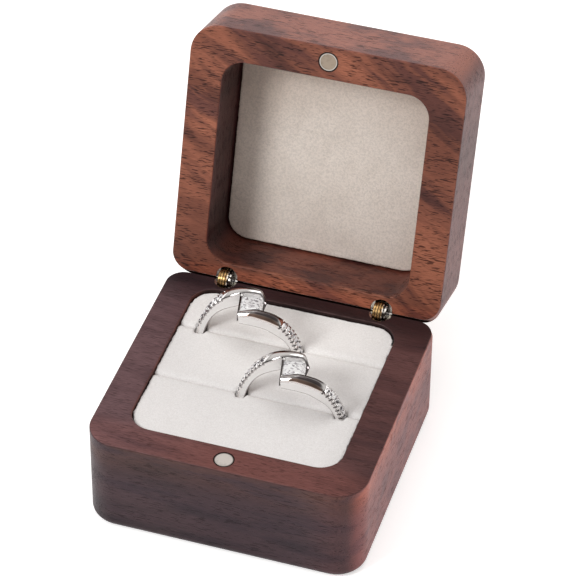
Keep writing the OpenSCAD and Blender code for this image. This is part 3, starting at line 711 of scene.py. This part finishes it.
def band_loop(q):
    """One section of the band: (radius, y, dark, warm) points, from the near inner edge over the
    outer face to the far inner edge. dark is painted shade and dark reflection along the edges and
    between the small stones, and warm a painted reflection of the brown wood."""
    r0, r1 = FINGER_R, outer_at(q)
    near, far = sides_at(q)
    size = abs(q)
    arm = ease(size, 145, 155)
    low = (0.30 if q > 0 else 0.16) * scallop(q)
    # Painted tones: mid_dark, near_dark and far_dark are painted dark reflections and shade on the arms, warm
    # a painted reflection of the wood on the front arm's bevel.
    if q > 0:
        depth = 0.62
        bevel = 0.10 + 0.5 * ease(size, 143, 157) - 0.38 * ease(size, 166, 188)
        warm = ease(size, 144, 152) * ease(size, 188, 180)
        mid_dark = arm * (0.55 + 0.45 * ease(size, 178, 170))
        near_dark, far_dark = 0.15 * arm + 0.45 * ease(size, 172, 179), arm
    else:
        depth = 0.38
        bevel, warm = 0.12, 0.0
        mid_dark = 0.8 * ease(size, 184, 189)
        near_dark, far_dark = 0.85 * ease(size, 142, 150), ease(size, 146, 152)
    # Painted shade in the gaps between the small stones.
    stone_gap_shade = 0.0
    k = (size - PAVE_FROM) / PAVE_PITCH + 0.5
    if 1.7 < k < PAVE_N + 0.3:
        stone_gap_shade = ease(abs((k + 0.5) % 1 - 0.5), 0.25, 0.05) * (1.0 if q > 0 else 0.55)
    shoulder = ease(k, 1.4, 2.9) if k < PAVE_N + 0.3 else 0.0
    y1, y2 = near + bevel, far - 0.1
    across = y2 - y1
    top = r1 + 0.12 * arm - low * 0.3
    pts = [
        (r0 + 0.10, near, 0.55, 0.25), (r0 + 0.30, near, 0, 0), (r1 - bevel - depth - 0.1, near, 0, 0),
        (r1 - bevel - depth, near, stone_gap_shade, 0.2),
        (r1 - bevel - 0.20 - low, near, max(stone_gap_shade, 0.1 * shoulder), 0.2),
        (r1 - bevel - low, near, max(near_dark, stone_gap_shade, 0.7 * shoulder), warm),
        (r1 - bevel * 0.5 - low, near + bevel * 0.5, max(near_dark * 0.5, stone_gap_shade), warm),
        (r1 - low * 0.6, y1, max(mid_dark, near_dark * 0.6, stone_gap_shade), 0.2 * warm),
        (top, y1 + 0.25 * across, mid_dark * 0.9, 0), (top, y1 + 0.5 * across, mid_dark * 0.5, 0),
        (top, y1 + 0.7 * across, max(mid_dark * 0.8, far_dark * 0.35), 0),
        (r1 - low * 0.6, y2, max(far_dark, 0.4 * shoulder), 0),
        (r1 - 0.12 - low, far, far_dark, 0), (r1 - 0.40 - low, far, 0.7 * far_dark, 0),
        (r1 - 0.62 - low, far, 0, 0), (r0 + 0.30, far, 0, 0), (r0 + 0.10, far, 0.3, 0),
        (r0, far - 0.10, 0.3, 0.3), (r0, (near + far) / 2, 0.1, 0.35), (r0, near + 0.10, 0.5, 0.5),
    ]
    # The rear arm's tip painted dark as shade and dark reflection.
    if q < 0 and size > 187:
        pts = [(r, y, max(d, 0.8 * ease(size, 187, 191)), w) for r, y, d, w in pts]
    # The end sections are drawn in to close the band and painted dark as shade.
    if abs(q - REAR_END) < 0.01 or abs(q - FRONT_END) < 0.01:
        mid = (near + far) / 2
        pts = [(r0 + 0.25 + (r - r0) * 0.86, mid + (y - mid) * 0.8, max(d, 0.6), w) for r, y, d, w in pts]
    return pts


# The points of a section that lie on the band's flat sides.
SATIN_POINTS = (1, 2, 3, 13, 14, 15)


def band_mesh():
    """Vertices, faces and, for each vertex, its painted dark tone, painted warm tone and satin tone.
    Sections lie closer in the upper half, and one lies close to each end."""
    stops = []
    q = REAR_END
    while q < FRONT_END:
        stops.append(q)
        q += 0.5 if abs(q) > 90 else 1.5
    stops = [REAR_END, REAR_END + 0.2, *stops[1:], FRONT_END - 0.2, FRONT_END]
    sections, dark, warm, satin = [], [], [], []
    for q in stops:
        s, k = math.sin(math.radians(q)), math.cos(math.radians(q))
        pts = band_loop(q)
        sections.append([(r * s, y, -r * k) for r, y, _, _ in pts])
        dark += [p[2] for p in pts]
        warm += [p[3] for p in pts]
        satin += [1.0 if i in SATIN_POINTS else 0.0 for i in range(len(pts))]
    verts, faces = loft(sections)
    return verts, faces, dark, warm, satin


def plate_mesh():
    """The thin wall along the stone's left side that closes the end of the front arm."""
    a = math.radians(STONE_TURN)
    h = STONE_W / 2
    x0, x1 = -h - 0.42, -h - 0.12
    z0, z1 = FINGER_R + 0.5, GIRDLE_R + 0.12
    pts = [(x0, -h - 1.0), (x0, h - 0.1), (x1, h + 0.05), (x1, -h - 0.8)]
    outline = [turned_2d(x, y, a) for x, y in pts]
    return loft([[(x, y, z) for x, y in outline] for z in (z0, z1 - 0.1, z1)])


def sharpen(obj):
    """Keeps the edges of a smooth object sharp where its faces turn by more than 35 degrees."""
    obj.data.set_sharp_from_angle(angle=math.radians(35))


def gem_mesh(w, turn, r):
    """Square cut stone: table, stepped crown, girdle and a faceted pavilion, with corners nipped."""

    def outline(size, z, corner=0.12, twist=0.0):
        h, c = size / 2, size * corner
        pts = [(h, -h + c), (h, 0), (h, h - c), (h - c, h), (0, h), (-h + c, h),
               (-h, h - c), (-h, 0), (-h, -h + c), (-h + c, -h), (0, -h), (h - c, -h)]
        return [(*turned_2d(x, y, math.radians(turn + twist)), z) for x, y in pts]

    rows = [outline(0.25, r - 1.6), outline(w * 0.34, r - 1.18, 0.3, 9), outline(w * 0.64, r - 0.78, 0.3, -7),
            outline(w * 0.98, r - 0.1), outline(w, r), outline(w * 0.88, r + 0.24, 0.16, 4),
            outline(w * 0.70, r + 0.50, 0.14), outline(w * 0.60, r + 0.56, 0.14)]
    verts = [p for row in rows for p in row]
    n = len(rows[0])
    faces = []
    for i in range(len(rows) - 1):
        for j in range(n):
            a, b = i * n + j, i * n + (j + 1) % n
            if (i + j) % 2:
                faces += [(a, b, b + n), (a, b + n, a + n)]
            else:
                faces += [(a, b, a + n), (b, b + n, a + n)]
    return verts, faces + caps(len(rows), n)


def circle(x, y, z, radius, seg):
    return [(x + radius * math.cos(2 * math.pi * j / seg), y + radius * math.sin(2 * math.pi * j / seg), z)
            for j in range(seg)]


def ball(radius, at, seg=10, rows=6):
    x, y, z = at
    verts = [(x, y, z - radius)]
    for i in range(1, rows):
        f = math.pi * i / rows
        verts += circle(x, y, z - radius * math.cos(f), radius * math.sin(f), seg)
    verts.append((x, y, z + radius))
    faces = [(0, 1 + (j + 1) % seg, 1 + j) for j in range(seg)]
    for i in range(rows - 2):
        for j in range(seg):
            a, b = 1 + i * seg + j, 1 + i * seg + (j + 1) % seg
            faces.append((a, b, b + seg, a + seg))
    top = len(verts) - 1
    last = 1 + (rows - 2) * seg
    faces += [(top, last + j, last + (j + 1) % seg) for j in range(seg)]
    return verts, faces


def on_band(q, side=0.0):
    """Frame on the band's outer surface at angle q: Z outwards, Y along the finger axis. side runs
    from -1 at the near edge to 1 at the far edge."""
    a = math.radians(q)
    near, far = sides_at(q)
    out = Vector((math.sin(a), 0, -math.cos(a)))
    across = Vector((0, 1, 0))
    along = across.cross(out)
    p = out * outer_at(q) + Vector((0, (near + far) / 2 + side * (far - near) / 2, 0))
    return Matrix(((along.x, across.x, out.x, p.x), (along.y, across.y, out.y, p.y),
                   (along.z, across.z, out.z, p.z), (0, 0, 0, 1)))


def small_stone(d):
    """Round stone: flat table, sloping crown and a pointed foot."""
    profile = ((0.05, -0.45), (d / 2, -0.04), (d / 2, 0.02), (0.3 * d, 0.17))
    return loft([circle(0, 0, z, r, 12) for r, z in profile])


BEAD_R, BEAD_SIDE = 0.11, 0.74
PRONG_R, PRONG_TIP_R = 0.22, 0.16


def ring(prefix, x, y, body):
    """A ring in its slot: the band with its beads, prongs and stone's wall, the centre stone and
    the stones along both shoulders."""
    place = ring_matrix(x, y)
    v, f, *tones = band_mesh()
    metal_parts = [(v, f)]

    def add(part, dark, warm=0.0):
        metal_parts.append(part)
        for layer, tone in zip(tones, (dark, warm, 0.0)):
            layer += [tone] * len(part[0])

    for sign in (-1, 1):
        for i in range(PAVE_N + 1):
            q = sign * (PAVE_FROM + (i - 0.5) * PAVE_PITCH)
            for side in (-BEAD_SIDE, BEAD_SIDE):
                # Every other bead is painted dark, as a dark reflection.
                add(moved(ball(BEAD_R, (0, 0, 0)), on_band(q, side)), 0.0 if i % 2 else 0.4)
    # The stone's wall is painted dark as shade, with a little painted wood reflection.
    add(plate_mesh(), 0.75, 0.1)
    for cx in (-1, 1):
        for cy in (-1, 1):
            px, py = turned_2d(cx * (STONE_W / 2 + 0.05), cy * (STONE_W / 2 + 0.05), math.radians(STONE_TURN))
            # Prongs painted half dark, and the right prong tips nearly black, as painted shade and dark
            # reflection.
            add(loft([circle(px, py, z, PRONG_R, 12) for z in (FINGER_R + 0.3, GIRDLE_R + 0.2)]), 0.5)
            tip_r, dark = (PRONG_R, 0.3) if cx < 0 else (PRONG_TIP_R, 0.95)
            add(ball(tip_r, (px, py, GIRDLE_R + 0.12), 12, 8), dark)
    band = new_object(prefix + "_band_polished", *moved(joined(metal_parts), place), SILVER, body)
    for name, values in zip(RING_TONES, tones):
        band.data.attributes.new(name, "FLOAT", "POINT").data.foreach_set("value", values)
    sharpen(band)
    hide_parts(prefix + "_band")
    cut = gem_mesh(STONE_W + 0.1, STONE_TURN, GIRDLE_R)
    stone = new_object(prefix + "_centre_stone_cut", *moved(cut, place), STONE, body, False)
    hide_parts(prefix + "_centre_stone")
    cuts = joined([moved(small_stone(PAVE_D), on_band(sign * (PAVE_FROM + i * PAVE_PITCH)))
                   for sign in (-1, 1) for i in range(PAVE_N)])
    small = new_object(prefix + "_shoulder_stones_cut", *moved(cuts, place), SMALL_STONE, body, False)
    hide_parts(prefix + "_shoulder_stones")


ring("front_ring", FRONT_RING_X, FRONT_SLOT_Y, "front_ring")
ring("rear_ring", REAR_RING_X, REAR_SLOT_Y, "rear_ring")

# ---------------------------------------------------------------- lid lining


def lid_lining():
    """The lid's velvet as outlines from its back, over its soft edge, to its slightly wavy face."""
    z_face = CEILING_Z - LINING_CARD_T - LINING_T
    w, d, r = HOLLOW_W - 2 * LINING_GAP, HOLLOW_D - 2 * LINING_GAP, LINING_R
    cy = HOLLOW_MID_Y

    def outline(inset, z):
        pts = []
        for sx, sy, start in ((1, 1, 0), (-1, 1, 90), (-1, -1, 180), (1, -1, 270)):
            for k in range(13):
                a = math.radians(start + 90 * k / 12)
                pts.append((sx * (w / 2 - r) + (r - inset) * math.cos(a),
                            cy + sy * (d / 2 - r) + (r - inset) * math.sin(a), z))
        # Points about 0.35 mm apart, moved in and out a little as a cut edge of pile is.
        out = []
        for i, p in enumerate(pts):
            n = pts[(i + 1) % len(pts)]
            steps = max(1, int(math.dist(p, n) / 0.35))
            for t in range(steps):
                q = Vector([p[c] + (n[c] - p[c]) * t / steps for c in range(3)])
                v = Vector((q[0], q[1] - cy))
                v = v * (1 + noise.noise(q * 3.1) * 0.08 / v.length)
                out.append((v.x, v.y + cy, q[2]))
        return out

    edge = ((0.02, LINING_T), (0.0, 0.22), (0.05, 0.09), (0.2, 0.01))
    rings = [outline(inset, z_face + up) for inset, up in edge]
    for inset in (0.5, 1.1, 2.0, 3.0):
        rings.append([(x, y, z + noise.noise(Vector((x, y, 0)) * 0.2) * 0.05)
                      for x, y, z in outline(inset, z_face)])
    verts, faces = loft(rings)
    obj = new_object("lid_lining_pile", [open_lid(p) for p in verts], faces, LID_VELVET, "lid")
    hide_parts("lid_lining_velvet")


lid_lining()

# ---------------------------------------------------------------- floor, light and camera


FLOOR_HALF, FLOOR_Z = 3000, -0.02


def backdrop():
    """A pale floor that glows a little, just under the box."""
    g = Graph("studio_white")
    grain = g.noise(g.coords((0.05, 0.05, 0.05), source=g.coords()), detail=2)
    g.shader.inputs["Emission Strength"].default_value = 0.5
    g.set(Base_Color=g.mix(grain, (0.90, 0.90, 0.90), (0.92, 0.92, 0.92)), Roughness=0.9,
          Emission_Color=(1, 1, 1, 1))
    corners = ((-1, -1), (1, -1), (1, 1), (-1, 1))
    mesh = bpy.data.meshes.new("floor")
    mesh.from_pydata([(x * FLOOR_HALF * MM, y * FLOOR_HALF * MM, FLOOR_Z * MM) for x, y in corners],
                     [], [(0, 1, 2, 3)])
    floor = bpy.data.objects.new("floor", mesh)
    bpy.context.scene.collection.objects.link(floor)
    mesh.materials.append(g.material)


backdrop()


def sky():
    """White overhead and behind the box, grey round the front of the horizon."""
    world = bpy.data.worlds.new("studio")
    bpy.context.scene.world = world
    world.use_nodes = True
    tree = world.node_tree
    tex = tree.nodes.new("ShaderNodeTexCoord")
    split = tree.nodes.new("ShaderNodeSeparateXYZ")
    lean = tree.nodes.new("ShaderNodeMath")
    lean.operation = "MULTIPLY_ADD"
    lean.inputs[1].default_value = 0.45
    ramp = tree.nodes.new("ShaderNodeValToRGB")
    background = tree.nodes["Background"]
    tree.links.new(tex.outputs["Generated"], split.inputs[0])
    tree.links.new(split.outputs["Y"], lean.inputs[0])
    tree.links.new(split.outputs["Z"], lean.inputs[2])
    tree.links.new(lean.outputs[0], ramp.inputs["Fac"])
    tree.links.new(ramp.outputs["Color"], background.inputs["Color"])
    low, high = ramp.color_ramp.elements
    low.position, low.color = 0.05, (0.25, 0.24, 0.235, 1)
    high.position, high.color = 0.50, (1, 0.96, 0.935, 1)
    background.inputs["Strength"].default_value = 0.62


sky()


def area(name, at, target, size, power, colour=(1, 1, 1)):
    """A rectangular light of that size, at a point in mm, that looks at its target."""
    data = bpy.data.lights.new(name, "AREA")
    data.shape = "RECTANGLE"
    data.size, data.size_y = size[0] * MM, size[1] * MM
    data.energy = power
    data.color = colour
    obj = bpy.data.objects.new(name, data)
    bpy.context.scene.collection.objects.link(obj)
    obj.location = Vector(at) * MM
    obj.rotation_mode = "QUATERNION"
    obj.rotation_quaternion = (Vector(target) * MM - obj.location).to_track_quat("-Z", "Y")


area("key", (-240, -300, 330), (0, 5, 25), (150, 150), 1.22, (0.99, 1.0, 1.0))
area("top", (20, 20, 430), (0, 0, 20), (260, 260), 0.36)
area("side", (400, 60, 70), (25, 0, 20), (140, 110), 0.40, (1.0, 0.97, 0.95))

CAM_AZ, CAM_EL, CAM_ROLL = 17.306, 40.484, 0.546
CAM_DIST, CAM_F = 529.664, 3111.335
CAM_TARGET = (4.206, 0.0, 41.019)
PHOTO_W, SENSOR_W = 576, 36


def camera():
    """The camera fitted to the photograph: angles in degrees, lengths in mm, CAM_F in pixels."""
    az, el, roll = (math.radians(a) for a in (CAM_AZ, CAM_EL, CAM_ROLL))
    back = Vector((math.sin(az) * math.cos(el), -math.cos(az) * math.cos(el), math.sin(el)))
    right = Vector((math.cos(az), math.sin(az), 0))
    up = back.cross(right)
    r2 = right * math.cos(roll) + up * math.sin(roll)
    u2 = up * math.cos(roll) - right * math.sin(roll)
    data = bpy.data.cameras.new("camera")
    data.sensor_fit = "HORIZONTAL"
    data.sensor_width = SENSOR_W
    data.lens = CAM_F / PHOTO_W * SENSOR_W
    data.clip_start, data.clip_end = 0.01, 10
    obj = bpy.data.objects.new("camera", data)
    bpy.context.scene.collection.objects.link(obj)
    place = Vector(CAM_TARGET) * MM + back * CAM_DIST * MM
    obj.matrix_world = Matrix(((r2.x, u2.x, back.x, place.x), (r2.y, u2.y, back.y, place.y),
                               (r2.z, u2.z, back.z, place.z), (0, 0, 0, 1)))
    bpy.context.scene.camera = obj


camera()
bpy.context.scene.view_settings.view_transform = "Standard"
bpy.context.view_layer.update()
